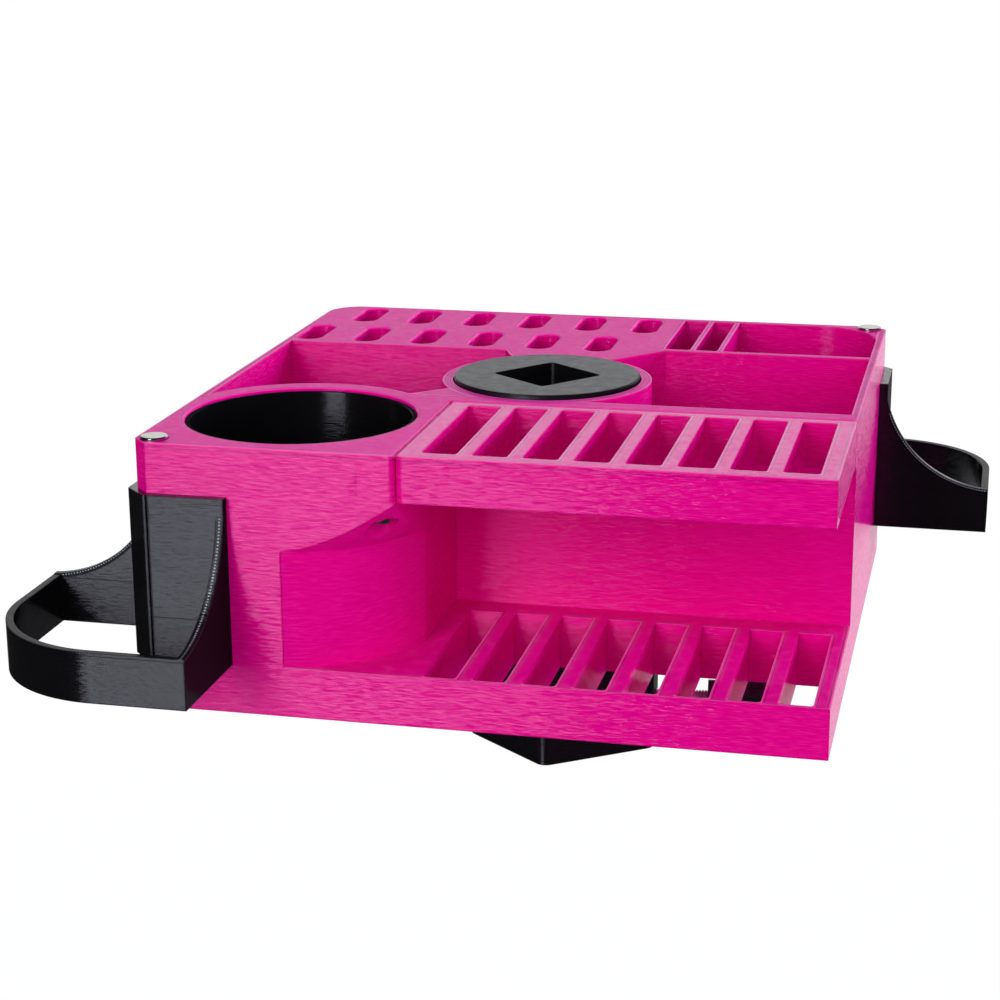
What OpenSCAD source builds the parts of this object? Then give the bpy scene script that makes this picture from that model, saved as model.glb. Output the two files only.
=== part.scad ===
// Rotating tool caddy for a square post.
// Origin: on the post's axis, level with the underside of the tray body.
// +X runs to the right along the front face, +Y to the back, +Z up. Millimetres.

/* [Post] */
// Side of the square steel post that the caddy turns on
post_side = 25.4; // [20:0.1:28]
// Corner radius of that post
post_round = 1.5; // [0.5:0.1:3]
// Angle between the post's faces and the caddy's faces
post_turn = 51.4; // [0:0.2:90]
// Gap left round the post in the holes that take it
post_gap = 0.2; // [0.1:0.05:0.4]

/* [Tray body] */
// Width over the left and right faces
body_w = 212; // [205:1:240]
// Depth over the front and back faces
body_d = 215; // [208:1:240]
// Height from the underside to the top face
body_h = 84.8; // [80:0.1:110]
// Thickness of the outer walls
wall_t = 2.4; // [1.6:0.1:4]
// Thickness of the walls between compartments
divider_t = 2.2; // [1.4:0.1:4]
// Thickness of the floor under compartments, cup and tool holes
floor_t = 3; // [2:0.1:6]
// Chamfer on the two corners that carry the holders
corner_chamfer = 4.6; // [4:0.1:4.7]
// Radius of the back left corner
back_corner_r = 12; // [4:0.5:16]

/* [Cup] */
// Radius of the round hole for the cup liner
cup_r = 36.5; // [32:0.5:38]
// Wall between the cup hole and the left face
cup_left = 3.9; // [3:0.1:8]
// Wall between the cup hole and the front face
cup_front = 6.4; // [5:0.1:8]
// Wall of the round housing under the cup block
housing_t = 6.5; // [4:0.1:7]
// Height at which the housing starts to flare into the square block
flare_z = 52.7; // [40:0.1:60]
// Width of the front face that runs down to the underside
front_face_w = 46.4; // [44:0.1:50]
// Chamfer round the mouth of the cup hole
cup_mouth = 0.6; // [0.2:0.1:1.5]

/* [Cup liner] */
// Gap between the liner's rim and the cup hole
liner_gap = 0.3; // [0.2:0.05:0.6]
// Drop of the liner's rim below the top face
liner_drop = 1; // [0:0.1:4]
// Wall of the liner
liner_t = 1.2; // [1:0.1:3]
// Taper of the liner from rim to foot, on the radius
liner_taper = 2.4; // [1:0.1:5]
// Floor of the liner
liner_floor = 2; // [1:0.1:4]

/* [Boss and bush] */
// Outer radius of the boss round the post
boss_r = 35.1; // [33:0.1:37]
// Radius of the bush's flange on top of the boss
flange_r = 31.2; // [28:0.1:32]
// Thickness of that flange
flange_t = 2.8; // [2:0.1:5]
// Height of the flange above the top face
flange_proud = 1.5; // [0.5:0.1:2]
// Chamfer on the flange's top edge
flange_chamfer = 0.5; // [0.2:0.1:1]
// Outer radius of the bush's sleeve
sleeve_r = 23; // [21:0.1:26]
// Running gap between the sleeve and the boss, on the radius
sleeve_gap = 0.1; // [0.05:0.05:0.4]
// Gap round the flange in its recess
flange_gap = 0.4; // [0.2:0.1:1]
// Gap above and below the turning body
thrust_gap = 0.3; // [0.2:0.05:0.6]

/* [Front rack and tray] */
// Thickness of the upper rack
rack_t = 14.5; // [10:0.5:18]
// Thickness of the lower tray
tray_h = 16; // [10:0.1:20]
// Distance from the front face back to the upright wall
recess_d = 74.1; // [70:0.1:76]
// Thickness of that wall
front_wall_t = 2.9; // [2:0.1:4]
// Depth of the upper rack from front to back
rack_d = 69.5; // [66:0.1:72]
// Width of the cup block beside the rack
block_w = 82.45; // [80:0.05:84]
// Number of slots in the rack and in the tray
slot_n = 8; // [3:1:8]
// Width of a slot in the rack
slot_w = 10.8; // [8:0.1:11.4]
// Bar to the left of the rack's first slot
slot_first = 6.85; // [4:0.05:8]
// Bar to the right of the rack's last slot
slot_last = 5.5; // [3:0.05:7]
// Width of a slot in the tray
tray_slot_w = 10.3; // [8:0.1:11.4]
// Bar to the left of the tray's first slot
tray_first = 7.15; // [5:0.05:9]
// Bar to the right of the tray's last slot
tray_last = 5; // [3:0.05:7]
// Bar in front of the slots of the upper rack
rack_front_bar = 5; // [3:0.1:8]
// Bar behind the slots of the upper rack
rack_back_bar = 4.2; // [3:0.1:8]
// Lip in front of the slots of the lower tray
tray_lip = 1.4; // [1:0.1:6]
// Solid strip behind the slots of the lower tray
tray_back_bar = 10; // [5:0.1:16]
// Forward lean of the slots' back ends from the tray's top to the underside
tray_back_lean = 4.2; // [0.5:0.1:8]
// Radius in the corners of the slots
slot_r = 1.2; // [0.4:0.1:2]
// Radius of the cup block's upright edge at its joint with the rack
joint_r = 1.6; // [0.5:0.1:2.5]
// Radius of the rack's upright edge at that joint
rack_joint_r = 2.5; // [0.5:0.1:3.5]
// Groove along the top of the rack's joints
joint_groove = 0.9; // [0.3:0.1:1.2]
// Height of the tongue behind the rack
tongue_h = 4; // [2:0.1:6]
// Depth of that tongue
tongue_d = 3.6; // [2:0.1:4.5]
// Gap round the tongue in its groove
tongue_gap = 0.15; // [0.1:0.05:0.3]

/* [Compartments] */
// Distance from the back face to the left compartment
left_comp_back = 65.5; // [64:0.1:68]
// Half width of the web between cup housing and boss
web_half = 6; // [3:0.1:10]
// Distance from the back face to the right middle compartment
mid_comp_back = 55.8; // [54:0.1:58]
// Distance from the right face to the wall beside the tool holes
hole_block_right = 74; // [72:0.1:76]
// Distance from the right face to the first narrow slot
narrow_edge = 74.7; // [73:0.1:76]
// Width of the first narrow slot
narrow_w1 = 9.1; // [5:0.1:10]
// Width of the second narrow slot
narrow_w2 = 7.9; // [5:0.1:10]
// Thickness of the two walls beside the second narrow slot
narrow_t = 1.8; // [1.2:0.1:3]
// Radius of the deep corner of the back right compartment
sweep_r = 22; // [8:0.5:30]

/* [Tool holes] */
// Number of tool holes in each row
hole_n = 6; // [2:1:6]
// Width of a tool hole
hole_w = 8.8; // [6:0.1:11]
// Length of a tool hole from front to back
hole_l = 25; // [14:0.1:26]
// Wall between the first hole and the left face
hole_left = 2.3; // [1.6:0.1:3.5]
// Wall between the last hole and the right end of its block
hole_right = 8.9; // [6:0.1:13]
// Sideways shift of the back row
row_shift = 11; // [8:0.1:12]
// Distance between the middles of the two rows
row_pitch = 34.4; // [30:0.1:35]
// Distance from the back face to the middle of the back row
row_back = 14.9; // [14.4:0.1:17]
// Chamfer round the mouth of each hole
hole_chamfer = 0.7; // [0.3:0.1:1]

/* [Corner holders] */
// Length of each leg of the corner plate
holder_leg = 30; // [26:0.5:34]
// Thickness of the corner plate
holder_t = 3; // [2:0.1:4]
// Reach of the arms from the caddy's faces
holder_reach = 40; // [34:0.5:50]
// Thickness of arms and band
band_t = 2.4; // [1.6:0.1:4]
// Height of the holder's foot above the underside
holder_z = 15.7; // [10:0.1:20]
// Height of the corner plate's top
holder_top = 69; // [66:0.1:72]
// Height by which the back holder stands above the front one
holder_lift = 1.2; // [0:0.1:3]
// Height of the middle of the arms' arc above the plate's top
arc_rise = 3; // [1:0.1:6]
// Chamfer on the plate's outer corner
holder_chamfer = 7.4; // [4:0.1:7.6]
// Distance from the outer corner to the upright line on each face
holder_line_at = 8.3; // [8.1:0.1:12]
// Width and depth of that line
holder_line = 0.6; // [0.3:0.1:0.8]

/* [Magnets] */
// Radius of the disc magnets
magnet_r = 4.2; // [3:0.1:4.4]
// Thickness of the disc magnets
magnet_t = 3; // [2:0.1:5]
// Height of the top magnets above the top face
magnet_proud = 1; // [0.2:0.1:1.6]
// Distance of a top magnet's middle from the side face
magnet_side = 6; // [5.9:0.1:7]
// Distance of a top magnet's middle from the front or back face
magnet_end = 5; // [4.9:0.1:6]
// Gap round a magnet in its pocket
magnet_gap = 0.1; // [0.05:0.05:0.2]
// Radius of the magnet in the flare under the cup block
flare_magnet_r = 3.35; // [2.5:0.05:3.6]
// Part of that magnet that stands out of its pocket's ceiling
flare_proud = 1.1; // [0.2:0.1:1.6]
// Radius of the open pocket round that magnet
pocket_r = 5; // [4.4:0.1:5.6]
// Height of that pocket's ceiling
pocket_z = 63.3; // [61:0.1:65]
// Distance of that magnet's middle from the block's right side
pocket_side = 6.05; // [5.5:0.05:8]
// Distance of that magnet's middle from the front face
pocket_end = 7.2; // [6:0.1:9]

/* [Collar and clamp] */
// Side of the collar's square part
collar_side = 50.4; // [46:0.1:56]
// Height of the collar
collar_h = 39.4; // [30:0.1:50]
// Distance from the post's axis to the collar's flat end
collar_end = 38; // [36:0.1:44]
// Distance from the post's axis to the collar's blunt back end
collar_back = 25.5; // [22:0.1:31]
// Width of the flat end beside the knob
collar_end_w = 34.8; // [28:0.1:40]
// Shift of the collar's two broad corners towards the flat end
collar_lean = 2; // [0:0.1:6]
// Radius of the collar's upright edges
collar_r = 4; // [2:0.1:5]
// Height of the clamp screw's axis above the collar's foot
screw_z = 12; // [12:0.1:16]
// Radius of the clamp screw
screw_r = 3; // [2.5:0.1:4]
// Gap round the screw
screw_gap = 0.1; // [0.05:0.05:0.2]
// Bare length of screw between collar and knob
screw_out = 18; // [12:0.5:24]
// Length of screw inside the knob
screw_in = 14; // [8:0.5:16]
// Gap between the screw's tip and the post
tip_gap = 0.1; // [0:0.05:0.3]
// Width across the flats of the clamp nut
nut_af = 10; // [9.5:0.1:12]
// Thickness of the clamp nut
nut_t = 5; // [4:0.1:6]
// Gap round the nut in its slot
nut_gap = 0.15; // [0.1:0.05:0.3]
// Wall between the nut's slot and the collar's flat end
nut_wall = 6; // [4:0.1:8]
// Radius of the knob over its lobes
knob_r = 11.5; // [10:0.1:11.8]
// Length of the knob's grip
knob_l = 18; // [14:0.5:20]
// Radius of the knob's lobes
lobe_r = 3.2; // [2:0.1:4]
// Number of lobes
lobe_n = 6; // [5:1:8]
// Radius of the knob's neck
neck_r = 6.5; // [5:0.1:7.5]
// Length of that neck
neck_l = 6; // [3:0.5:8]
// Chamfer on the ends of the grip
knob_chamfer = 1.2; // [0.5:0.1:2]

/* [Hidden] */
$fn = 96;
eps = 0.01;
over = 1;
pink = [0.86, 0.04, 0.50];
black = [0.06, 0.06, 0.07];
nickel = [0.78, 0.78, 0.76];
steel = [0.60, 0.61, 0.63];

left_x = -body_w / 2;
right_x = body_w / 2;
front_y = -body_d / 2;
back_y = body_d / 2;

cup_x = left_x + cup_left + cup_r;
cup_y = front_y + cup_front + cup_r;
housing_r = cup_r + housing_t;
rack_z = body_h - rack_t;

wall_y = front_y + recess_d;
rim_y = front_y + rack_d;
mid_y = wall_y + front_wall_t;
joint_x = left_x + block_w;
rim_over = wall_y - rim_y;
tongue_z = rack_z + (rack_t - tongue_h) / 2;
slot_pitch = (body_w - block_w - slot_first - slot_w - slot_last) / (slot_n - 1);
tray_pitch = (body_w - block_w - tray_first - tray_slot_w - tray_last) / (slot_n - 1);

flange_z = body_h + flange_proud - flange_t;
recess_z = flange_z - thrust_gap;
bore_r = sleeve_r + sleeve_gap;

comp_left = left_x + wall_t;
comp_right = right_x - wall_t;
comp_back = back_y - wall_t;
hole_x0 = left_x + hole_left + hole_w / 2;
hole_run = body_w - hole_block_right - hole_left - hole_w - row_shift - hole_right;
hole_pitch = hole_run / (hole_n - 1);
hole_y_back = back_y - row_back;
block_edge = right_x - hole_block_right;
narrow_y = back_y - mid_comp_back + divider_t;
narrow_x0 = right_x - narrow_edge;
narrow_x1 = narrow_x0 + narrow_w1 + narrow_t;
wide_x = narrow_x1 + narrow_w2 + narrow_t;

magnet_x = left_x + magnet_side;
magnet_y = front_y + magnet_end;
pocket_x = joint_x - pocket_side;
pocket_y = front_y + pocket_end;

arc_out = holder_reach + holder_t - 0.5;
arc_r = holder_reach + 0.5;
arc_z = holder_top + arc_rise;

collar_top = -thrust_gap;
collar_z = collar_top - collar_h;
axis_z = collar_z + screw_z;
clamp_turn = post_turn - 45;
post_reach = post_side / sqrt(2) - post_round * (sqrt(2) - 1);
tip_u = post_reach + tip_gap;
knob_u = collar_end + screw_out;
grip_u = knob_u + neck_l;
nut_u = collar_end - nut_wall - nut_t - nut_gap;

// Left edge of slot number i in the rack and in the tray
function slot_x(i) = joint_x + slot_first + i * slot_pitch;
function tray_slot_x(i) = joint_x + tray_first + i * tray_pitch;

// Points of the round that replaces the corner b between a and c
function corner_round(a, b, c, r, n = 6) =
    let (u = (a - b) / norm(a - b), v = (c - b) / norm(c - b),
        half = acos(u * v) / 2, m = (u + v) / norm(u + v),
        o = b + m * r / sin(half),
        p = b + u * r / tan(half) - o, q = b + v * r / tan(half) - o)
    [for (k = [0:n]) let (w = p * sin((1 - k / n) * (180 - 2 * half))
        + q * sin(k / n * (180 - 2 * half))) o + w / sin(180 - 2 * half)];

// Outline with the same round on every corner
function rounded(pts, r) = [for (i = [0:len(pts) - 1])
    each corner_round(pts[(i + len(pts) - 1) % len(pts)], pts[i], pts[(i + 1) % len(pts)], r)];

// Upright box between two plan corners with rounded upright edges
module well(p, q, z, h, r) {
    translate([0, 0, z])
        linear_extrude(h)
            polygon(rounded([p, [q[0], p[1]], q, [p[0], q[1]]], r));
}

// Waste outside a round upright edge: the corner is at the origin, the solid in +X +Y
module edge_waste(r, h) {
    difference() {
        translate([-over, -over, 0])
            cube([r + over, r + over, h]);
        translate([r, r, -over])
            cylinder(r = r, h = h + 2 * over);
    }
}

// Waste of a chamfer along X at the origin, open upwards, of leg c and length l
module bevel_waste(c, l) {
    rotate([90, 0, 90])
        linear_extrude(l)
            polygon([[0, -c], [c + over, over], [-c - over, over]]);
}

// Square hole for the post, from z to z + h
module post_hole(z, h) {
    s = post_side / 2 + post_gap;
    translate([0, 0, z])
        rotate([0, 0, post_turn])
            linear_extrude(h)
                polygon(rounded([[-s, -s], [s, -s], [s, s], [-s, s]], post_round));
}

// Outer block with its two chamfered corners and one round corner
module body_block() {
    c = corner_chamfer;
    difference() {
        linear_extrude(body_h)
            polygon([[left_x + c, front_y], [right_x, front_y], [right_x, back_y - c],
                [right_x - c, back_y], [left_x, back_y], [left_x, front_y + c]]);
        translate([left_x, back_y, -over])
            rotate([0, 0, -90])
                edge_waste(back_corner_r, body_h + 2 * over);
    }
}

// What stays standing in the front recess: housing, flare and the square cup block
module cup_block() {
    flare_h = rack_z - flare_z;
    intersection() {
        union() {
            translate([cup_x, cup_y, 0])
                cylinder(r = housing_r, h = rack_z);
            translate([cup_x, cup_y, flare_z])
                cylinder(r1 = housing_r, r2 = housing_r + flare_h, h = flare_h);
            translate([cup_x, cup_y, 0])
                cube([block_w, wall_y - cup_y + over, rack_z]);
        }
        translate([left_x, front_y - over, -over])
            cube([block_w, body_d, body_h + over]);
    }
    difference() {
        translate([left_x, front_y - over, rack_z - eps])
            cube([block_w, body_d, rack_t + 2 * over]);
        translate([joint_x, front_y, rack_z - over])
            rotate([0, 0, 90])
                edge_waste(joint_r, rack_t + 4 * over);
    }
}

// Open front between the tray and the top, with a slanted haunch under the rim
module front_recess() {
    difference() {
        translate([left_x + front_face_w, 0, 0])
            rotate([90, 0, 90])
                linear_extrude(body_w)
                    polygon([[front_y - over, tray_h], [wall_y, tray_h],
                        [wall_y, rack_z - rim_over], [rim_y, rack_z], [rim_y, body_h + over],
                        [front_y - over, body_h + over]]);
        cup_block();
    }
}

// Left compartment: bounded by the cup housing, the web and the boss
module left_compartment() {
    web = [-cup_y, cup_x] / norm([cup_x, cup_y]) * web_half;
    side = web[0] < 0 ? web : -web;
    y = back_y - left_comp_back;
    translate([0, 0, floor_t])
        linear_extrude(body_h)
            difference() {
                polygon([[comp_left, cup_y], [cup_x, cup_y] + side, side, [-boss_r * 0.5, boss_r * 0.8],
                    [-boss_r * 0.5 - (y - boss_r * 0.8) * 0.45, y], [comp_left, y]]);
                translate([cup_x, cup_y])
                    circle(r = housing_r);
                circle(r = boss_r);
            }
}

// Right middle compartment: bounded by the boss and the slanted end of the tool hole block
module middle_compartment() {
    y = back_y - mid_comp_back;
    translate([0, 0, floor_t])
        linear_extrude(body_h)
            difference() {
                polygon([[0, mid_y], [comp_right, mid_y], [comp_right, y], [block_edge, y],
                    [boss_r * 0.36, boss_r * 0.83], [0, 0]]);
                circle(r = boss_r);
            }
}

// Two narrow slots and the wide compartment with one swept corner
module back_compartments() {
    well([narrow_x0, narrow_y], [narrow_x0 + narrow_w1, comp_back], floor_t, body_h, 1);
    well([narrow_x1, narrow_y], [narrow_x1 + narrow_w2, comp_back], floor_t, body_h, 1);
    difference() {
        translate([wide_x, narrow_y, floor_t])
            cube([comp_right - wide_x, comp_back - narrow_y, body_h]);
        translate([comp_right, comp_back, 0])
            rotate([0, 0, 180])
                edge_waste(sweep_r, 2 * body_h);
    }
}

// One long tool hole with a chamfered mouth, its middle at the origin
module tool_hole() {
    run = (hole_l - hole_w) / 2;
    r = hole_w / 2;
    c = hole_chamfer;
    for (s = [-1, 1])
        translate([0, s * run, 0]) {
            translate([0, 0, floor_t])
                cylinder(r = r, h = body_h);
            translate([0, 0, body_h - c])
                cylinder(r1 = r, r2 = r + c + eps, h = c + eps);
        }
    translate([-r, -run, floor_t])
        cube([hole_w, 2 * run, body_h]);
    translate([0, run, 0])
        rotate([90, 0, 0])
            linear_extrude(2 * run)
                polygon([[-r, body_h - c], [r, body_h - c], [r + c + eps, body_h + eps],
                    [-r - c - eps, body_h + eps]]);
}

// Two staggered rows of tool holes
module tool_holes() {
    for (i = [0:hole_n - 1]) {
        translate([hole_x0 + i * hole_pitch, hole_y_back - row_pitch, 0])
            tool_hole();
        translate([hole_x0 + row_shift + i * hole_pitch, hole_y_back, 0])
            tool_hole();
    }
}

// Slots through the lower tray, their back ends leaning forward on the way down
module tray_slots() {
    back = wall_y - tray_back_bar;
    slope = tray_back_lean / tray_h;
    intersection() {
        for (i = [0:slot_n - 1])
            well([tray_slot_x(i), front_y + tray_lip],
                [tray_slot_x(i) + tray_slot_w, back + slope + slot_r],
                -over, tray_h + 2 * over, slot_r);
        translate([left_x, 0, 0])
            rotate([90, 0, 90])
                linear_extrude(body_w)
                    polygon([[front_y, -2 * over],
                        [back - tray_back_lean - 2 * over * slope, -2 * over],
                        [back + 2 * over * slope, tray_h + 2 * over],
                        [front_y, tray_h + 2 * over]]);
    }
}

// Seats of the three disc magnets
module magnet_pockets() {
    depth = magnet_t - magnet_proud;
    for (turn = [0, 180])
        rotate([0, 0, turn])
            translate([magnet_x, magnet_y, body_h - depth])
                cylinder(r = magnet_r + magnet_gap, h = depth + over);
    translate([pocket_x, pocket_y, tray_h + over])
        cylinder(r = pocket_r, h = pocket_z - tray_h - over);
    translate([pocket_x, pocket_y, pocket_z - over])
        cylinder(r = flare_magnet_r + magnet_gap, h = magnet_t - flare_proud + over);
}

module tray_body() {
    color(pink)
        difference() {
            body_block();
            front_recess();
            translate([cup_x, cup_y, floor_t])
                cylinder(r = cup_r, h = body_h);
            translate([cup_x, cup_y, body_h - cup_mouth])
                cylinder(r1 = cup_r, r2 = cup_r + cup_mouth + eps, h = cup_mouth + eps);
            translate([0, 0, -over])
                cylinder(r = bore_r, h = body_h + 2 * over);
            translate([0, 0, recess_z])
                cylinder(r = flange_r + flange_gap, h = body_h);
            left_compartment();
            middle_compartment();
            back_compartments();
            tool_holes();
            tray_slots();
            magnet_pockets();
            translate([joint_x - eps, rim_y - over, tongue_z - tongue_gap])
                cube([body_w, tongue_d + tongue_gap + over, tongue_h + 2 * tongue_gap]);
            translate([joint_x, rim_y, body_h])
                bevel_waste(joint_groove, body_w);
            translate([joint_x, front_y - over, body_h])
                rotate([0, 0, 90])
                    bevel_waste(joint_groove, rack_d + over);
        }
}

module upper_rack() {
    w = right_x - joint_x;
    color(pink)
        difference() {
            union() {
                translate([joint_x, front_y, rack_z])
                    cube([w, rack_d, rack_t]);
                translate([joint_x + tongue_gap, rim_y - eps, tongue_z])
                    cube([w - tongue_gap, tongue_d + eps, tongue_h]);
            }
            for (i = [0:slot_n - 1])
                well([slot_x(i), front_y + rack_front_bar], [slot_x(i) + slot_w, rim_y - rack_back_bar],
                    rack_z - over, rack_t + 2 * over, slot_r);
            translate([joint_x, front_y, rack_z - over])
                edge_waste(rack_joint_r, rack_t + 2 * over);
            translate([joint_x - over, rim_y, body_h])
                bevel_waste(joint_groove, w + 2 * over);
            translate([joint_x, front_y - over, body_h])
                rotate([0, 0, 90])
                    bevel_waste(joint_groove, rack_d + 2 * over);
            translate([right_x, rim_y, body_h + over])
                rotate([0, 90, 0])
                    bevel_waste(joint_groove, rack_t + 2 * over);
        }
}

module cup_liner() {
    rim_z = body_h - liner_drop;
    rim_r = cup_r - liner_gap;
    foot_r = rim_r - liner_taper;
    floor_z = floor_t + liner_floor;
    floor_r = foot_r + liner_taper * liner_floor / (rim_z - floor_t) - liner_t;
    color(black)
        translate([cup_x, cup_y, 0])
            rotate_extrude()
                polygon([[0, floor_t], [foot_r, floor_t], [rim_r, rim_z],
                    [rim_r - liner_t, rim_z], [floor_r, floor_z], [0, floor_z]]);
}

module post_bush() {
    top_z = body_h + flange_proud;
    color(black)
        difference() {
            rotate_extrude()
                polygon([[0, collar_top], [sleeve_r, collar_top], [sleeve_r, flange_z],
                    [flange_r, flange_z], [flange_r, top_z - flange_chamfer],
                    [flange_r - flange_chamfer, top_z], [0, top_z]]);
            post_hole(collar_top - over, body_h + 2 * flange_t + 2 * over);
        }
}

// Everything of the clamp is drawn along X and turned to the post's corner
module clamp_frame() {
    rotate([0, 0, clamp_turn])
        children();
}

module lower_collar() {
    a = collar_side / sqrt(2);
    b = collar_lean;
    c = a - collar_back;
    color(black)
        difference() {
            clamp_frame()
                translate([0, 0, collar_z])
                    linear_extrude(collar_h)
                        polygon(rounded([[-collar_back, -c], [b, -a - b],
                            [collar_end, -collar_end_w / 2], [collar_end, collar_end_w / 2],
                            [b, a + b], [-collar_back, c]], collar_r));
            post_hole(collar_z - over, collar_h + 2 * over);
            clamp_frame() {
                translate([0, 0, axis_z])
                    rotate([0, 90, 0])
                        cylinder(r = screw_r + screw_gap, h = collar_end + over);
                translate([nut_u - nut_gap, -nut_af / 2 - nut_gap, collar_z - over])
                    cube([nut_t + 2 * nut_gap, nut_af + 2 * nut_gap,
                        screw_z + over + nut_af / sqrt(3) + nut_gap]);
            }
        }
}

module clamp_nut() {
    color(steel)
        clamp_frame()
            translate([nut_u, 0, axis_z])
                rotate([0, 90, 0])
                    difference() {
                        cylinder(r = nut_af / sqrt(3), h = nut_t, $fn = 6);
                        translate([0, 0, -over])
                            cylinder(r = screw_r + screw_gap, h = nut_t + 2 * over);
                    }
}

module clamp_screw() {
    color(steel)
        clamp_frame()
            translate([tip_u, 0, axis_z])
                rotate([0, 90, 0])
                    cylinder(r = screw_r, h = knob_u + screw_in - tip_u);
}

module clamp_knob() {
    core_r = knob_r - lobe_r * 0.6;
    rim = knob_r + over;
    c = knob_chamfer + over;
    color(black)
        clamp_frame()
            translate([knob_u, 0, axis_z])
                rotate([0, 90, 0])
                    difference() {
                        union() {
                            cylinder(r = neck_r, h = neck_l + over);
                            intersection() {
                                translate([0, 0, neck_l])
                                    union() {
                                        cylinder(r = core_r, h = knob_l);
                                        for (i = [0:lobe_n - 1])
                                            rotate([0, 0, i * 360 / lobe_n])
                                                translate([knob_r - lobe_r, 0, 0])
                                                    cylinder(r = lobe_r, h = knob_l);
                                    }
                                translate([0, 0, neck_l])
                                    rotate_extrude()
                                        polygon([[0, 0], [rim - c, 0], [rim, c], [rim, knob_l - c],
                                            [rim - c, knob_l], [0, knob_l]]);
                            }
                        }
                        translate([0, 0, -over])
                            cylinder(r = screw_r + screw_gap, h = screw_in + screw_gap + over);
                    }
}

// Side arm of the holder: a plate whose top sweeps down in an arc to the band
module holder_arm() {
    translate([holder_leg - band_t, 0, 0])
        rotate([90, 0, 90])
            linear_extrude(band_t)
                difference() {
                    translate([-holder_reach, holder_z])
                        square([holder_reach, holder_top - holder_z]);
                    translate([-arc_out, arc_z])
                        circle(r = arc_r);
                }
}

// Band of the holder: a quarter ring and a straight run to each arm
module holder_band() {
    h = arc_z - arc_r - 0.1 - holder_z;
    box = holder_reach + over;
    intersection() {
        difference() {
            cylinder(r = holder_reach, h = h);
            translate([0, 0, -over])
                cylinder(r = holder_reach - band_t, h = h + 2 * over);
        }
        translate([-box, -box, -over])
            cube([box, box, h + 2 * over]);
    }
    translate([0, -holder_reach, 0])
        cube([holder_leg, band_t, h]);
    translate([-holder_reach, 0, 0])
        cube([band_t, holder_leg, h]);
}

// Upright line cut into the front of the corner plate
module holder_groove() {
    translate([holder_line_at - holder_t, -holder_t - over, holder_z - over])
        cube([holder_line, holder_line + over, holder_top - holder_z + 2 * over]);
}

// Corner holder with the caddy's corner at the origin and the caddy in +X +Y
module corner_holder() {
    t = holder_t;
    c = holder_chamfer - t;
    color(black) {
        difference() {
            translate([0, 0, holder_z])
                linear_extrude(holder_top - holder_z)
                    polygon([[-t, holder_leg], [-t, c], [c, -t], [holder_leg, -t], [holder_leg, 0],
                        [corner_chamfer, 0], [0, corner_chamfer], [0, holder_leg]]);
            holder_groove();
            mirror([1, -1, 0])
                holder_groove();
        }
        holder_arm();
        mirror([1, -1, 0])
            holder_arm();
        translate([0, 0, holder_z])
            holder_band();
    }
}

module holder_front_left() {
    translate([left_x, front_y, 0])
        corner_holder();
}

module holder_back_right() {
    rotate([0, 0, 180])
        translate([left_x, front_y, holder_lift])
            corner_holder();
}

// Disc magnet of radius r standing on z = 0, with softened rims
module disc_magnet(r) {
    c = 0.3;
    color(nickel)
        rotate_extrude()
            polygon([[0, 0], [r - c, 0], [r, c], [r, magnet_t - c], [r - c, magnet_t], [0, magnet_t]]);
}

module magnet_front_left() {
    translate([magnet_x, magnet_y, body_h + magnet_proud - magnet_t])
        disc_magnet(magnet_r);
}

module magnet_back_right() {
    rotate([0, 0, 180])
        magnet_front_left();
}

module magnet_flare() {
    translate([pocket_x, pocket_y, pocket_z - flare_proud])
        disc_magnet(flare_magnet_r);
}

tray_body();
upper_rack();
cup_liner();
post_bush();
lower_collar();
clamp_nut();
clamp_screw();
clamp_knob();
holder_front_left();
holder_back_right();
magnet_front_left();
magnet_back_right();
magnet_flare();
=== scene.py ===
import math

import bmesh
import bpy
from mathutils import Matrix, Vector


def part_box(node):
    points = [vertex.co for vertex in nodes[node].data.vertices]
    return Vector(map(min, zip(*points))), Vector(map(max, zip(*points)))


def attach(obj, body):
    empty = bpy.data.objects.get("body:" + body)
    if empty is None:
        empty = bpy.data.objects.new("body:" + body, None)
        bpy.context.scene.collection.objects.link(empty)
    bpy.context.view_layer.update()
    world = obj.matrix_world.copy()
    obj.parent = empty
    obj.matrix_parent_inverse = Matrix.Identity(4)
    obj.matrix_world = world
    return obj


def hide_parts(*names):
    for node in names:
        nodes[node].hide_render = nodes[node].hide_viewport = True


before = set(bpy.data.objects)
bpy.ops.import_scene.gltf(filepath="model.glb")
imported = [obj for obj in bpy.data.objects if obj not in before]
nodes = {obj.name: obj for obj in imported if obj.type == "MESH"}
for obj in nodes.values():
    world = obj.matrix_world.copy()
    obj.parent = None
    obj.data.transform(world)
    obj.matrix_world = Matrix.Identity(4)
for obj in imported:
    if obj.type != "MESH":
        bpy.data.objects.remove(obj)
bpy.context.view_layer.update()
scene = bpy.context.scene
scene.view_settings.view_transform = "Standard"


# The view: a long lens in front of the caddy, a little to its right and above it. Its place and
# its turns were fitted to the straight edges of the body, the rack and the tray.
eye = Vector((0.14966, -0.71676, 0.25396))
yaw, pitch, roll = math.radians(-13.052), math.radians(16.118), math.radians(-0.327)
ahead = Vector((math.sin(yaw) * math.cos(pitch), math.cos(yaw) * math.cos(pitch), -math.sin(pitch)))
level = Vector((math.cos(yaw), -math.sin(yaw), 0.0))
above = level.cross(ahead)
across = level * math.cos(roll) + above * math.sin(roll)
upward = above * math.cos(roll) - level * math.sin(roll)
lens = bpy.data.cameras.new("view")
lens.sensor_width = 36.0
lens.lens = 80.46
lens.clip_start = 0.01
lens.clip_end = 60.0
camera = bpy.data.objects.new("view", lens)
facing = Matrix((across, upward, -ahead)).transposed().to_4x4()
camera.matrix_world = Matrix.Translation(eye) @ facing
scene.collection.objects.link(camera)
scene.camera = camera


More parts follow.
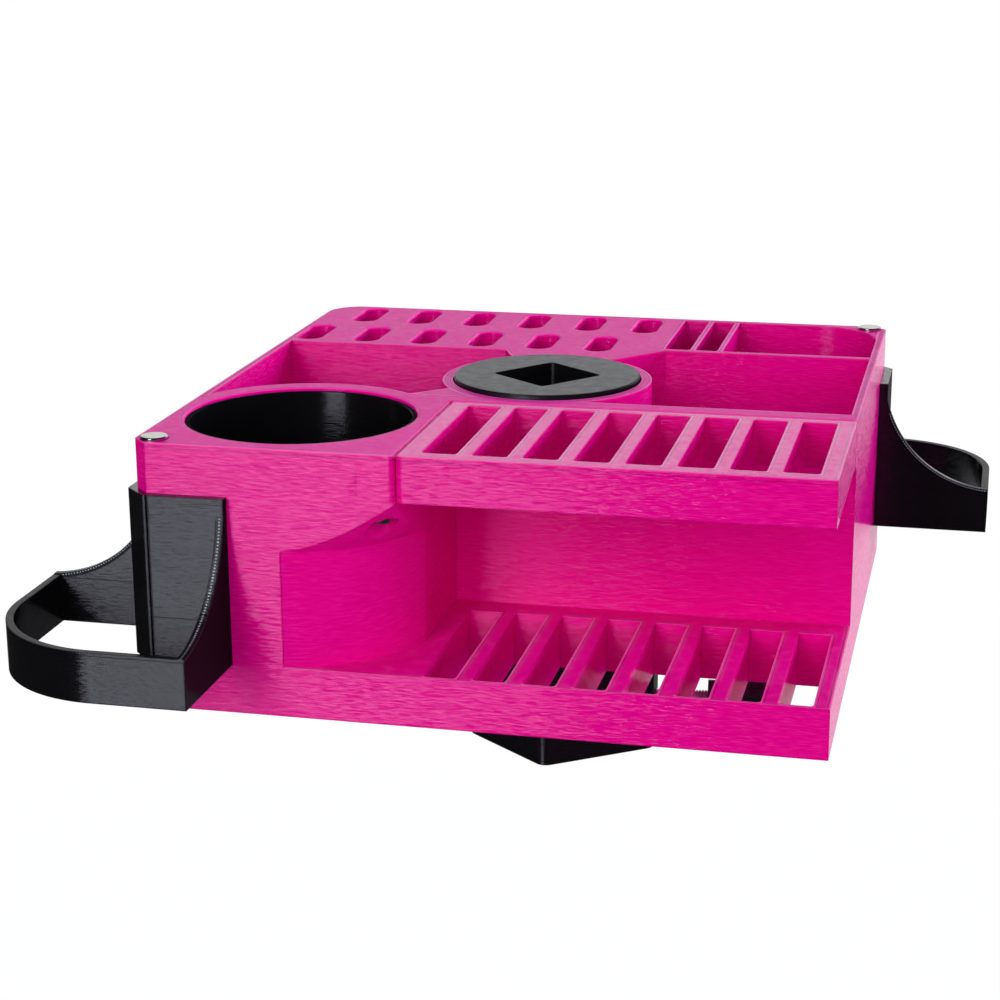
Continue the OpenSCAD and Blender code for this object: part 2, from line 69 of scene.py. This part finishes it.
# The studio: a sweep of white paper below and behind the caddy, a tall bright oval lamp left of
# the camera whose edge shows in the gloss, a cool lamp behind on the right, a bluish one above
# and a dim one in front on the right that only fills the shadows.
class Wire:
    """One value in a node tree. Arithmetic on wires adds the Math nodes for it."""

    def __init__(self, tree, socket=None):
        self.tree = tree
        self.socket = socket

    def node(self, kind, settings=None, sockets=None, out=0):
        """Any other node, with its settings and its input sockets; gives output out."""
        made = self.tree.nodes.new(kind)
        for key, value in (settings or {}).items():
            setattr(made, key, value)
        for key, value in (sockets or {}).items():
            if isinstance(value, Wire):
                self.tree.links.new(value.socket, made.inputs[key])
            else:
                made.inputs[key].default_value = value
        return Wire(self.tree, made.outputs[out])

    def math(self, operation, *values):
        return self.node("ShaderNodeMath", {"operation": operation}, dict(enumerate(values)))

    def vector(self, operation, *values, out="Vector"):
        return self.node("ShaderNodeVectorMath", {"operation": operation},
                         dict(enumerate(values)), out)

    def __add__(self, other):
        return self.math("ADD", self, other)

    def __radd__(self, other):
        return self.math("ADD", other, self)

    def __sub__(self, other):
        return self.math("SUBTRACT", self, other)

    def __rsub__(self, other):
        return self.math("SUBTRACT", other, self)

    def __mul__(self, other):
        return self.math("MULTIPLY", self, other)

    def __rmul__(self, other):
        return self.math("MULTIPLY", other, self)

    def __truediv__(self, other):
        return self.math("DIVIDE", self, other)

    def __abs__(self):
        return self.math("ABSOLUTE", self)

    def __mod__(self, other):
        return self.math("FLOORED_MODULO", self, other)

    def least(self, other):
        return self.math("MINIMUM", self, other)

    def most(self, other):
        return self.math("MAXIMUM", self, other)

    def below(self, other):
        return self.math("LESS_THAN", self, other)

    def root(self):
        return self.math("SQRT", self)

    def cosine(self):
        return self.math("COSINE", self)

    def ramp(self, low, high):
        """0 at low, 1 at high, with soft ends."""
        return self.node("ShaderNodeMapRange", {"interpolation_type": "SMOOTHSTEP"},
                         {"Value": self, "From Min": low, "From Max": high})

    def blend(self, first, second):
        """Colour mixed by this value: first where it is 0, second where it is 1."""
        return self.node("ShaderNodeMix", {"data_type": "RGBA"}, {0: self, 6: first, 7: second}, 2)

    def split(self):
        """The X, Y and Z of a vector."""
        parts = self.node("ShaderNodeSeparateXYZ", None, {0: self}).socket.node
        return [Wire(self.tree, parts.outputs[i]) for i in range(3)]


def new_material(name):
    """An empty material and a wire to start its nodes from."""
    material = bpy.data.materials.new(name)
    material.use_nodes = True
    material.node_tree.nodes.clear()
    return material, Wire(material.node_tree)


def finish_material(start, surface):
    """Sends the finished shader to the material's output."""
    output = start.tree.nodes.new("ShaderNodeOutputMaterial")
    start.tree.links.new(surface.socket, output.inputs["Surface"])


def soft_box(name, place, target, width, height, glow, shade=(1.0, 1.0, 1.0), in_gloss=False):
    """An oval lamp whose face looks as bright as glow, 1 being white paper in full light.
    Glossy surfaces mirror it only with in_gloss."""
    lamp = bpy.data.lights.new(name, "AREA")
    lamp.shape = "ELLIPSE"
    lamp.color = shade
    lamp.size, lamp.size_y = width, height
    oval_area = width * height * math.pi / 4
    lamp.energy = glow * math.pi * oval_area
    box = bpy.data.objects.new(name, lamp)
    away = (Vector(place) - Vector(target)).normalized()
    box.matrix_world = Matrix.Translation(place) @ away.to_track_quat("Z", "Y").to_matrix().to_4x4()
    box.visible_glossy = in_gloss
    scene.collection.objects.link(box)


soft_box("key_box", (-0.74, -2.04, 0.80), (0.0, -0.1, 0.05), 0.88, 2.0, 6.2, in_gloss=True)
soft_box("fill_box", (0.9, -2.1, 0.65), (0.0, 0.0, 0.05), 1.8, 1.5, 2.7)
soft_box("side_box", (1.9, 1.0, 0.28), (0.0, 0.0, 0.05), 1.2, 1.1, 22.0, (0.79, 0.86, 1.0))
soft_box("top_box", (0.0, 0.2, 1.9), (0.0, 0.0, 0.0), 1.8, 1.8, 2.7, (0.55, 0.76, 1.0))

world = bpy.data.worlds.new("room")
world.use_nodes = True
world.node_tree.nodes.clear()
sky = Wire(world.node_tree)
seen = sky.node("ShaderNodeLightPath", None, None, "Is Camera Ray")
gloss = sky.node("ShaderNodeLightPath", None, None, "Is Glossy Ray")
room, mirrored = 0.22, 0.02
strength = seen * (1.0 - room) - gloss * (room - mirrored) + room
air = sky.node("ShaderNodeBackground", None, {"Color": (1.0, 1.0, 1.0, 1.0), "Strength": strength})
world_out = world.node_tree.nodes.new("ShaderNodeOutputWorld")
world.node_tree.links.new(air.socket, world_out.inputs["Surface"])
scene.world = world

sweep = bmesh.new()
floor, bend_y, bend = -0.30, 4.0, 1.5
profile = [(-0.3, floor), (bend_y, floor)]
for k in range(1, 11):
    angle = math.radians(9 * k)
    profile.append((bend_y + bend * math.sin(angle), floor + bend - bend * math.cos(angle)))
profile.append((bend_y + bend, 4.0))
rows = [[sweep.verts.new((x, y, z)) for y, z in profile] for x in (-5.0, 5.0)]
for k in range(len(profile) - 1):
    sweep.faces.new((rows[1][k], rows[1][k + 1], rows[0][k + 1], rows[0][k]))
paper_mesh = bpy.data.meshes.new("paper_sweep")
sweep.normal_update()
sweep.to_mesh(paper_mesh)
sweep.free()
for face in paper_mesh.polygons:
    face.use_smooth = True
paper = bpy.data.objects.new("paper_sweep", paper_mesh)
scene.collection.objects.link(paper)
paper_white, start = new_material("paper_white")
seen = start.node("ShaderNodeLightPath", None, None, "Is Camera Ray")
gloss = start.node("ShaderNodeLightPath", None, None, "Is Glossy Ray")
through = start.node("ShaderNodeLightPath", None, None, "Is Transmission Ray")
east, north, up = start.node("ShaderNodeNewGeometry", None, None, "Position").split()
behind = (north - abs(east) * 0.8).ramp(0.05, 0.30) * (0.62 + 0.38 * up.ramp(-0.25, 0.6))
shown = seen.most(gloss).most(through)
far = (east * east + north * north).root().ramp(0.35, 0.9)
sheet = start.node("ShaderNodeBsdfDiffuse", None, {"Color": (0.92, 0.92, 0.92, 1.0)})
light = start.node("ShaderNodeEmission", None, {"Color": (1.0, 1.0, 1.0, 1.0), "Strength": 1.0})
dim = start.node("ShaderNodeEmission", None, {"Color": (1.0, 1.0, 1.0, 1.0), "Strength": mirrored})
lit = start.node("ShaderNodeMixShader", None, {0: shown * (0.97 + far * 0.03), 1: sheet, 2: light})
lit = start.node("ShaderNodeMixShader", None, {0: gloss * (1.0 - behind), 1: lit, 2: dim})
back = start.node("ShaderNodeNewGeometry", None, None, "Backfacing")
clear = start.node("ShaderNodeBsdfTransparent")
finish_material(start, start.node("ShaderNodeMixShader", None, {0: back, 1: lit, 2: clear}))
paper.data.materials.append(paper_white)


# The tray body: one print in bright pink plastic, built up in layers of 0.28 mm from its
# underside. Walls show the layers, level faces show the outline passes round every opening and
# the slanting fill between them.
MM = 0.001
TURN = 2.0 * math.pi
LAYER = 0.28 * MM
BEAD = 0.45 * MM
PINK = (0.79, 0.0004, 0.255, 1.0)
HALF_X, HALF_Y = 0.106, 0.1075
JOINT_X, RIM_Y = -0.02355, -0.038
CUP_X, CUP_Y = -0.0656, -0.0646


def from_axis(x, y, middle_x, middle_y):
    """Distance from an upright axis."""
    u, v = x - middle_x, y - middle_y
    return (u * u + v * v).root()


def print_surface(start, near, tilt=0.38, streak=1.5, grain=0.22, top=0.0848, hull=0.0697,
                  seams=()):
    """The printed skin: its place, normal, mask of level faces, streaks, painted edge highlight
    lines and the marks, which hold that painted highlight too.
    near is the distance in metres from the nearest outline on a level face; tilt, streak and
    grain are how much the layers, the streaks along them and the fine noise lean the normal;
    top and hull are the heights of the rim and of a line round the walls; seams are upright
    rows of blobs, each with its x, y, lowest and highest z."""
    place = start.node("ShaderNodeTexCoord", None, None, "Object")
    x, y, z = place.split()
    facing = start.node("ShaderNodeTexCoord", None, None, "Normal").split()[2]
    flat = abs(facing).ramp(0.90, 0.985)
    wall = 1.0 - flat
    streaks = start.node("ShaderNodeTexNoise", None,
                         {"Vector": place.vector("MULTIPLY", place, (230.0, 230.0, 4300.0)),
                          "Scale": 1.0, "Detail": 1.0, "Roughness": 0.6}) - 0.5
    pits = start.node("ShaderNodeTexNoise", None,
                      {"Vector": place.vector("MULTIPLY", place, (430.0, 430.0, 3600.0)),
                       "Scale": 1.0, "Detail": 1.0}, "Color")
    wave = (z * (TURN / LAYER)).cosine()
    lean = (wave * tilt + streaks * streak) * wall
    smooth = start.node("ShaderNodeBevel", {"samples": 4}, {"Radius": 0.8 * MM}, "Normal")
    push = start.node("ShaderNodeCombineXYZ", None, {"Z": lean})
    shiver = start.vector("MULTIPLY", start.vector("SUBTRACT", pits, (0.5, 0.5, 0.5)),
                          (grain, grain, grain))
    skin = start.vector("NORMALIZE", start.vector("ADD", start.vector("ADD", smooth, push), shiver))
    groove = 1.0 - abs(near - 2.1 * BEAD).ramp(0.15 * BEAD, 0.55 * BEAD)
    slant = start.node("ShaderNodeCombineXYZ", None, {"X": (x + y) * 1500.0, "Y": (x - y) * 90.0})
    along = start.node("ShaderNodeTexNoise", None,
                       {"Vector": slant, "Scale": 1.0, "Detail": 2.0}) - 0.5
    # Pale lines along the outlines of level faces and along the top of the walls: a painted edge
    # highlight, also put into the relief
    painted_edge_highlight = (1.0 - near.ramp(0.25 * MM, 0.5 * MM)) * flat
    painted_edge_highlight = painted_edge_highlight + z.ramp(top - 0.5 * MM, top - 0.2 * MM) * wall
    sunk = 1.0 - abs(z + streaks * (0.6 * MM) - (top - 1.5 * MM)).ramp(0.10 * MM, 0.45 * MM)
    band = 1.0 - abs(z - hull).ramp(0.05 * MM, 0.35 * MM)
    # The marks: the fill's lines, the grooves between outline passes, the hull line, a sunk line
    # and the seams, with the painted edge highlight added in
    marks_and_edge_highlight = (along * 0.5 - groove * 2.2) * flat + painted_edge_highlight + (band * 0.35 - sunk) * wall
    for a, b, low, high in seams:
        away = from_axis(x, y, a, b)
        dots = (z * (TURN / (1.9 * MM)) + streaks * 9.0).cosine() * 0.5 + 0.5
        length = z.ramp(low - MM, low) * (1.0 - z.ramp(high, high + MM))
        marks_and_edge_highlight = marks_and_edge_highlight - (1.0 - away.ramp(0.25 * MM, 0.55 * MM)) * dots * wall * 1.2 * length
    relief = marks_and_edge_highlight * (0.03 * MM)
    skin = start.node("ShaderNodeBump", None,
                      {"Strength": 0.7, "Distance": 1.0, "Height": relief, "Normal": skin})
    return place, skin, flat, streaks, painted_edge_highlight, marks_and_edge_highlight


def pink_print(name, near, level=0.12, seams=()):
    """Bright pink plastic in layers, half matt on the inner walls, which get little light, with
    painted sheen round the openings and painted highlight along the edges. near builds the
    outline distance from x, y and z, level is how much rougher the level faces are than the
    walls."""
    material, start = new_material(name)
    x, y, z = start.node("ShaderNodeTexCoord", None, None, "Object").split()
    gap = near(x, y, z)
    place, skin, flat, streaks, painted_edge_highlight, marks_and_edge_highlight = print_surface(start, gap, seams=seams)
    cloud = start.node("ShaderNodeTexNoise", None, {"Vector": place, "Scale": 38.0, "Detail": 2.0})
    # The tone varies at random with the cloud and the streaks; the marks add the print's grooves,
    # lines and seams and the painted edge highlight
    shade = 0.94 + cloud * 0.06 + streaks * 0.16 + marks_and_edge_highlight * 0.24
    body = start.node("ShaderNodeVectorMath", {"operation": "SCALE"}, {0: PINK[:3], "Scale": shade})
    # Pink paled towards white round the openings on level faces, along the edges and in the lighter
    # streaks: painted sheen and painted edge highlight
    painted_hole_sheen = (1.0 - gap.ramp(0.2 * MM, 2.4 * MM)) * flat * cloud.ramp(0.35, 0.65)
    painted_sheen = painted_hole_sheen * 0.12 + painted_edge_highlight * 0.16 + streaks.ramp(0.0, 0.3) * 0.03
    tint = painted_sheen.blend(body, (0.95, 0.50, 0.80, 1.0))
    rough = 0.09 + streaks * 0.12 + flat * level
    shell = start.node("ShaderNodeBsdfPrincipled", None,
                       {"Base Color": tint, "Roughness": rough, "IOR": 1.42,
                        "Specular Tint": (1.0, 0.66, 1.0, 1.0), "Normal": skin})
    matt = start.node("ShaderNodeBsdfDiffuse", None, {"Color": PINK, "Normal": skin})
    depth = (HALF_X - abs(x)).least(HALF_Y - abs(y))
    inside = depth.ramp(0.5 * MM, 2.0 * MM) * (1.0 - flat)
    surface = start.node("ShaderNodeMixShader", None, {0: inside * 0.5, 1: shell, 2: matt})
    finish_material(start, surface)
    return material


def frame_gap(x, y, low, high):
    """Distance from a rectangle's outline, below 0 inside it."""
    return (low[0] - x).most(x - high[0]).most((low[1] - y).most(y - high[1]))


def hole_gap(x, y, first, row):
    """Distance from the outlines of a row of six long holes, the first with its middle at
    first; a metre more beyond the row's ends."""
    pitch, radius, straight = 0.0214, 0.0044, 0.0081
    u = (x - (first - pitch / 2)) % pitch - pitch / 2
    v = (abs(y - row) - straight).most(0.0)
    middle, reach = first + 2.5 * pitch, 2.5 * pitch + 0.0073
    return abs((u * u + v * v).root() - radius) + (reach - abs(x - middle)).below(0.0)


def body_edges(x, y, z):
    """Distance from the nearest outline on the body's top, tray or underside, in metres."""
    outer = abs(frame_gap(x, y, (-HALF_X, -HALF_Y), (HALF_X, HALF_Y)))
    from_cup = from_axis(x, y, CUP_X, CUP_Y)
    from_boss = from_axis(x, y, 0.0, 0.0)
    wall_in, cup_wall, boss_wall = 0.1036, 0.043, 0.0351
    # The left compartment, bounded by the housing, the boss and two slanting walls
    left = frame_gap(x, y, (-wall_in, CUP_Y), (1.0, 0.042))
    left = left.most(cup_wall - from_cup).most(boss_wall - from_boss)
    left = left.most(0.006 - y * 0.7125 + x * 0.7017)
    left = left.most((x + 0.01755) * 0.912 + (y - 0.02808) * 0.410)
    # The right compartment, bounded by the boss and one slanting wall
    right = frame_gap(x, y, (-1.0, -0.0305), (wall_in, 0.0517)).most(boss_wall - from_boss)
    right = right.most((y - 0.0517) * 0.651 - (x - 0.032) * 0.759)
    # The cup's mouth, the round recess in the boss, the tool holes, the two narrow slots with
    # the back compartment, and the opening that the rack fills
    gap = outer.least(abs(from_cup - 0.0365)).least(abs(from_boss - 0.0316))
    gap = gap.least(abs(left)).least(abs(right))
    gap = gap.least(hole_gap(x, y, -0.0993, 0.0582)).least(hole_gap(x, y, -0.0883, 0.0926))
    for low, high in ((0.0313, 0.0404), (0.0422, 0.0501), (0.0519, wall_in)):
        gap = gap.least(abs(frame_gap(x, y, (low, 0.0539), (high, 0.1051))))
    gap = gap.least(abs(frame_gap(x, y, (JOINT_X, -0.2), (0.2, RIM_Y))))
    # The tray's slots, whose back ends lean forward on the way down
    pitch, half_slot, lean = 0.0153, 0.00515, 0.0042
    u = abs((x + 0.0164) % pitch - half_slot) - half_slot
    ends = (-0.1061 - y).most(y + 0.0434 + z.below(0.001) * lean)
    tray = (abs(u.most(ends)) + x.below(-0.0185)).least(outer)
    # Above the tray only the top's outlines count, below only the tray's
    low = z.below(0.03)
    return (gap + low).least(tray + 1.0 - low)


def dress(name, material):
    """Gives a carried-over piece its material."""
    nodes[name].data.materials.clear()
    nodes[name].data.materials.append(material)


body_seams = [(-0.0354, -HALF_Y, 0.072, 0.079), (0.0324, 0.0517, 0.0, 0.09),
              (-0.0240, -0.0560, 0.0, 0.09)]
dress("tray_body", pink_print("pink_body_print", body_edges, level=0.34, seams=body_seams))


# The upper rack: a second pink print that slides into the body from the front, with eight
# slots right through it. A tongue along its back sits in a groove in the body's rim.
def rack_edges(x, y, z):
    """Distance from the nearest outline on the rack's top, in metres."""
    pitch, half_slot, half_length = 0.0152, 0.0054, 0.03015
    u = abs((x + 0.0167) % pitch - half_slot) - half_slot
    slots = abs(u.most(abs(y + 0.07235) - half_length))
    slots = slots + x.below(-0.0185) + (0.1025 - x).below(0.0)
    return slots.least(abs(frame_gap(x, y, (JOINT_X, -HALF_Y), (HALF_X, RIM_Y))))


dress("upper_rack", pink_print("pink_rack_print", rack_edges))


# The cup liner: a tapered black beaker, printed in one thin spiral wall, so its inside is
# glossier than the other black parts. It stands loose in the cup hole.
BLACK = (0.0034, 0.0034, 0.0042, 1.0)


def black_print(name, tilt=0.50, streak=0.6, grain=0.12, rough=0.15, top=0.069, hull=1.0,
                top_sheen=0.0, dull=0.0, rings=None, arcs=()):
    """Black plastic in layers. tilt, streak, grain, top and hull are as in print_surface; top_sheen
    is how pale and dull the level faces are, the paleness being painted sheen, dull only how
    dull; rings is the radius in metres of the round passes on the top; arcs are swept edges that
    carry rows of painted glints where the layers step, each with the axis it runs along, its
    middle on it, its height and radius, and the place of its crest on the other axis."""
    material, start = new_material(name)
    x, y, z = start.node("ShaderNodeTexCoord", None, None, "Object").split()
    near = abs(from_axis(x, y, 0.0, 0.0) - rings) if rings else abs(x) + 1.0
    printed = print_surface(start, near, tilt, streak, grain, top, hull)
    place, skin, flat, streaks = printed[:4]
    side_x, side_y, _ = start.node("ShaderNodeTexCoord", None, None, "Normal").split()
    grit = start.node("ShaderNodeTexNoise", None, {"Vector": place, "Scale": 1300.0, "Detail": 1.0})
    # Pale grain on the level faces: painted sheen
    pale = flat * (grit.ramp(0.38, 0.70) * 0.7 + 0.3) * top_sheen
    # Rows of pale dots along the swept edges and their crests: painted glints of the layers' steps
    painted_glints, strip = z * 0.0, z * 0.0
    for axis, middle, height, radius, crest_at in arcs:
        u, other, looks = (y, x, side_x) if axis == "y" else (x, y, side_y)
        u = u - middle
        face = abs(looks).ramp(0.6, 0.8)
        v = z - height
        edge = (u * u + v * v).root() - radius
        swept = v.math("ARCTAN2", v, u) * radius
        dots = (swept * (TURN / (1.0 * MM)) + streaks * 3.0).cosine().ramp(-0.1, 0.6)
        inner = face * abs(u).below(0.0385)
        painted_glints = painted_glints + (1.0 - abs(edge - 0.5 * MM).ramp(0.10 * MM, 0.30 * MM)) * dots * inner
        strip = strip + (1.0 - abs(edge - 0.8 * MM).ramp(0.6 * MM, 0.9 * MM)) * inner
        crest = 1.0 - abs(other - crest_at).ramp(0.15 * MM, 0.35 * MM)
        painted_glints = painted_glints + crest * abs(edge).below(0.05 * MM) * dots
    # Black paled by that painted sheen
    sheened_black = pale.blend(BLACK, (0.10, 0.12, 0.14, 1.0))
    # The painted glints in a pale grey-blue over the black
    tint = painted_glints.least(1.0).blend(sheened_black, (0.32, 0.38, 0.42, 1.0))
    worn = rough + streaks * 0.14 + flat * (top_sheen * 0.25 + dull)
    shell = start.node("ShaderNodeBsdfPrincipled", None,
                       {"Base Color": tint, "Roughness": worn, "IOR": 1.53,
                        "Specular Tint": (0.84, 0.84, 1.0, 1.0), "Normal": skin})
    matt = start.node("ShaderNodeBsdfDiffuse", None, {"Color": BLACK, "Normal": skin})
    # Matt parts: walls that look to the right, the strip round the painted glints, streaks and the
    # hull line on the walls, and the low level faces
    band = 1.0 - abs(z - hull).ramp(0.05 * MM, 0.35 * MM)
    lines = (streaks.ramp(0.02, 0.22) * 0.35).most(band * 0.6) * (1.0 - flat)
    no_gloss = (side_x.ramp(0.5, 0.9) * 0.85).most((strip - painted_glints) * 0.8)
    no_gloss = no_gloss.most(lines).most(flat * z.below(0.04) * 0.55)
    surface = start.node("ShaderNodeMixShader", None, {0: no_gloss, 1: shell, 2: matt})
    finish_material(start, surface)
    return material


dress("cup_liner", black_print("black_liner_print", tilt=0.20, streak=0.25, grain=0.04,
                               rough=0.16, top=0.2, dull=0.8))


# The bush: a black flanged sleeve with a square hole, printed standing up. It keeps still while
# the caddy turns round it. Its top shows round passes and a pale grain of painted sheen.
dress("post_bush", black_print("black_bush_print", top_sheen=0.12, rough=0.34, top=0.0863,
                               rings=0.0312))


# The lower collar: a black block under the caddy with a square hole, held at its height by the
# clamp. It carries the bush and the caddy, and one corner reaches out to take the clamp screw.
dress("lower_collar", black_print("black_collar_print", top=0.2))


# The clamp: a black lobed knob on a zinc plated M6 rod, which turns in a nut held in a slot of
# the collar and reaches into the collar's square hole. The rod's thread is a real ridge.
def zinc_plate(name, fine):
    """Zinc plated steel with fine marks; fine scales how dense they are."""
    material, start = new_material(name)
    place = start.node("ShaderNodeTexCoord", None, None, "Object")
    wear = start.node("ShaderNodeTexNoise", None,
                      {"Vector": place, "Scale": 420.0, "Detail": 4.0, "Roughness": 0.7})
    streaks = start.node("ShaderNodeTexNoise", None,
                         {"Vector": place.vector("MULTIPLY", place, (fine, fine, fine * 4.0)),
                          "Scale": 1.0, "Detail": 2.0})
    tint = wear.blend((0.50, 0.50, 0.49, 1.0), (0.72, 0.72, 0.70, 1.0))
    skin = start.node("ShaderNodeBump", None,
                      {"Strength": 0.25, "Distance": 0.2 * MM, "Height": streaks})
    rough = 0.22 + wear * 0.22
    metal = start.node("ShaderNodeBsdfPrincipled", None,
                       {"Base Color": tint, "Metallic": 1.0, "Roughness": rough, "Normal": skin})
    finish_material(start, metal)
    return material


def thread_tree(name, material):
    """A threaded rod along X: a sheet of points wrapped round it, each pushed out by the thread."""
    tree = bpy.data.node_groups.new(name, "GeometryNodeTree")
    given = [("Length", "Float", 0.05), ("Radius", "Float", 0.003), ("Depth", "Float", 0.0005),
             ("Pitch", "Float", 0.001), ("Sides", "Int", 24), ("Rings", "Int", 400)]
    for label, kind, value in given:
        socket = tree.interface.new_socket(label, in_out="INPUT", socket_type="NodeSocket" + kind)
        socket.default_value = value
    tree.interface.new_socket("Rod", in_out="OUTPUT", socket_type="NodeSocketGeometry")
    start = Wire(tree)
    inputs = start.node("NodeGroupInput").socket.node.outputs
    length, radius, depth, pitch, sides, rings = [Wire(tree, inputs[i]) for i in range(6)]
    sheet = start.node("GeometryNodeMeshGrid", None,
                       {"Size X": 1.0, "Size Y": 1.0, "Vertices X": rings, "Vertices Y": sides + 1})
    u, v, _ = start.node("GeometryNodeInputPosition").split()
    along = (u + 0.5) * length
    turn = v + 0.5
    ridge = abs((along / pitch + turn) % 1.0 - 0.5) * 2.0
    ends = along.least(length - along)
    chamfer = (1.0 - ends / (pitch * 1.2)).most(0.0) * 1.6
    blunt = radius - depth * (1.0 - ridge).most(chamfer)
    closed, weld = 0.01 * MM, 0.002 * MM
    size = blunt * ends.math("GREATER_THAN", ends, closed)
    angle = turn * TURN
    wrapped = start.node("ShaderNodeCombineXYZ", None,
                         {"X": along, "Y": size * angle.cosine(),
                          "Z": size * angle.math("SINE", angle)})
    rod = start.node("GeometryNodeSetPosition", None, {"Geometry": sheet, "Position": wrapped})
    rod = start.node("GeometryNodeMergeByDistance", None, {"Geometry": rod, "Distance": weld})
    rod = start.node("GeometryNodeRealizeInstances", None, {"Geometry": rod})
    rod = start.node("GeometryNodeSetMaterial", None, {"Geometry": rod, "Material": material})
    last = tree.nodes.new("NodeGroupOutput")
    tree.links.new(rod.socket, last.inputs[0])
    return tree


def made_by(tree, name, sizes, place):
    """The plain mesh object that a Geometry Nodes tree makes from these sizes, put at place."""
    carrier = bpy.data.objects.new(name, bpy.data.meshes.new(name))
    scene.collection.objects.link(carrier)
    modifier = carrier.modifiers.new("shape", "NODES")
    modifier.node_group = tree
    for item in tree.interface.items_tree:
        if item.in_out == "INPUT" and item.name in sizes:
            modifier[item.identifier] = sizes[item.name]
    carrier.update_tag()
    bpy.context.view_layer.update()
    shaped = carrier.evaluated_get(bpy.context.evaluated_depsgraph_get())
    mesh = bpy.data.meshes.new_from_object(shaped)
    carrier.modifiers.clear()
    carrier.data = mesh
    mesh.transform(place)
    return carrier


# The plain rod's box gives the length and the middle of the threaded one
rod_turn, rod_radius, ring_step = math.radians(6.4), 0.003, 0.000125
rod_low, rod_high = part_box("clamp_screw")
rod_length = rod_high.x - rod_low.x - 2 * rod_radius * math.sin(rod_turn)
rod_length = rod_length / math.cos(rod_turn)
rod_start = (rod_low + rod_high) / 2
rod_start -= Vector((math.cos(rod_turn), math.sin(rod_turn), 0.0)) * rod_length / 2
rod = made_by(thread_tree("threaded_rod", zinc_plate("zinc_rod", 900.0)), "threaded_rod",
              {"Length": rod_length, "Radius": 0.00299, "Depth": 0.00055, "Pitch": 0.001,
               "Sides": 24, "Rings": int(rod_length / ring_step)},
              Matrix.Translation(rod_start) @ Matrix.Rotation(rod_turn, 4, "Z"))
for face in rod.data.polygons:
    face.use_smooth = True
fixer = bmesh.new()
fixer.from_mesh(rod.data)
bmesh.ops.recalc_face_normals(fixer, faces=fixer.faces)
fixer.to_mesh(rod.data)
fixer.free()
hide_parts("clamp_screw")
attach(rod, "screw")

dress("clamp_nut", zinc_plate("zinc_nut", 500.0))
dress("clamp_knob", black_print("black_knob_print", tilt=0.3, grain=0.06, rough=0.3, top=0.2))


# The corner holders: two black prints that hug opposite corners of the body, each with a ring
# held out on two swept arms for a dryer's nozzle or a handle.
for name, side, lift in (("holder_front_left", -1.0, 0.0), ("holder_back_right", 1.0, 0.0012)):
    height, radius = 0.072 + lift, 0.0405
    swept = [("x", side * 0.1485, height, radius, side * 0.0787),
             ("y", side * 0.1500, height, radius, side * 0.0772)]
    dress(name, black_print("black_" + name, top=0.069 + lift, hull=0.0305 + lift, arcs=swept))


# The disc magnets: nickel plated discs, two set into the top at opposite corners and one in a
# pocket under the cup block, to hold clips and pins. Their faces have fine scratches.
nickel, start = new_material("nickel_disc")
place = start.node("ShaderNodeTexCoord", None, None, "Object")
scuffs = start.node("ShaderNodeTexNoise", None,
                    {"Vector": place.vector("MULTIPLY", place, (900.0, 2600.0, 900.0)),
                     "Scale": 1.0, "Detail": 3.0})
haze = start.node("ShaderNodeTexNoise", None, {"Vector": place, "Scale": 300.0, "Detail": 2.0})
tint = haze.blend((0.40, 0.42, 0.39, 1.0), (0.66, 0.66, 0.62, 1.0))
soft_edge = start.node("ShaderNodeBevel", {"samples": 4}, {"Radius": 0.3 * MM}, "Normal")
skin = start.node("ShaderNodeBump", None,
                  {"Strength": 0.3, "Distance": 0.1 * MM, "Height": scuffs, "Normal": soft_edge})
rough = 0.12 + haze * 0.16
metal = start.node("ShaderNodeBsdfPrincipled", None,
                   {"Base Color": tint, "Metallic": 1.0, "Roughness": rough, "Normal": skin})
finish_material(start, metal)
for name in ("magnet_front_left", "magnet_back_right", "magnet_flare"):
    dress(name, nickel)
